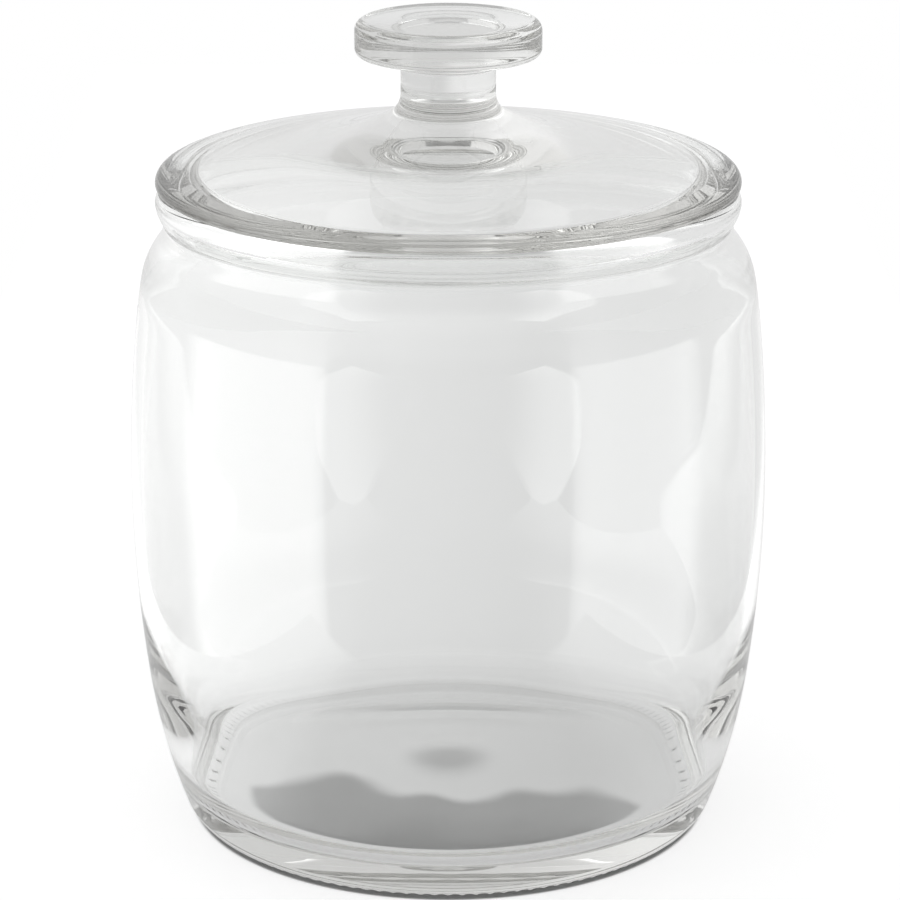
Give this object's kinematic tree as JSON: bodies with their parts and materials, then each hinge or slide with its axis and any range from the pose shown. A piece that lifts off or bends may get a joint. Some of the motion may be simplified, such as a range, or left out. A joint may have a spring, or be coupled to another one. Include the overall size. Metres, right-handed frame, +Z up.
{
  "type": "glass storage jar with lid",
  "caption": "Barrel-shaped clear glass storage jar with a rounded rim and a domed glass lid, located in the mouth by a ring and lifted off by its flat disc knob.",
  "frame": {"origin": "on the jar's axis, in the plane of the flat ring that it stands on", "axes": "+Z up along the jar's axis, from the base through the lid's knob; the whole part is turned about Z, so X and Y are free choices, with the picture's camera on the -Y side"},
  "size_m": [0.176, 0.176, 0.2244],
  "materials": {
    "jar_glass": "clear, smooth, blown soda-lime glass",
    "lid_glass": "clear, smooth, pressed soda-lime glass"
  },
  "bodies": {
    "jar": {"jar_body": "jar_glass"},
    "lid": {"lid": "lid_glass"}
  },
  "joints": [
    {"name": "lid_lift", "type": "slide", "parent": "jar", "child": "lid", "axis": [0, 0, 1], "range_m": [0, 0.16]}
  ]
}
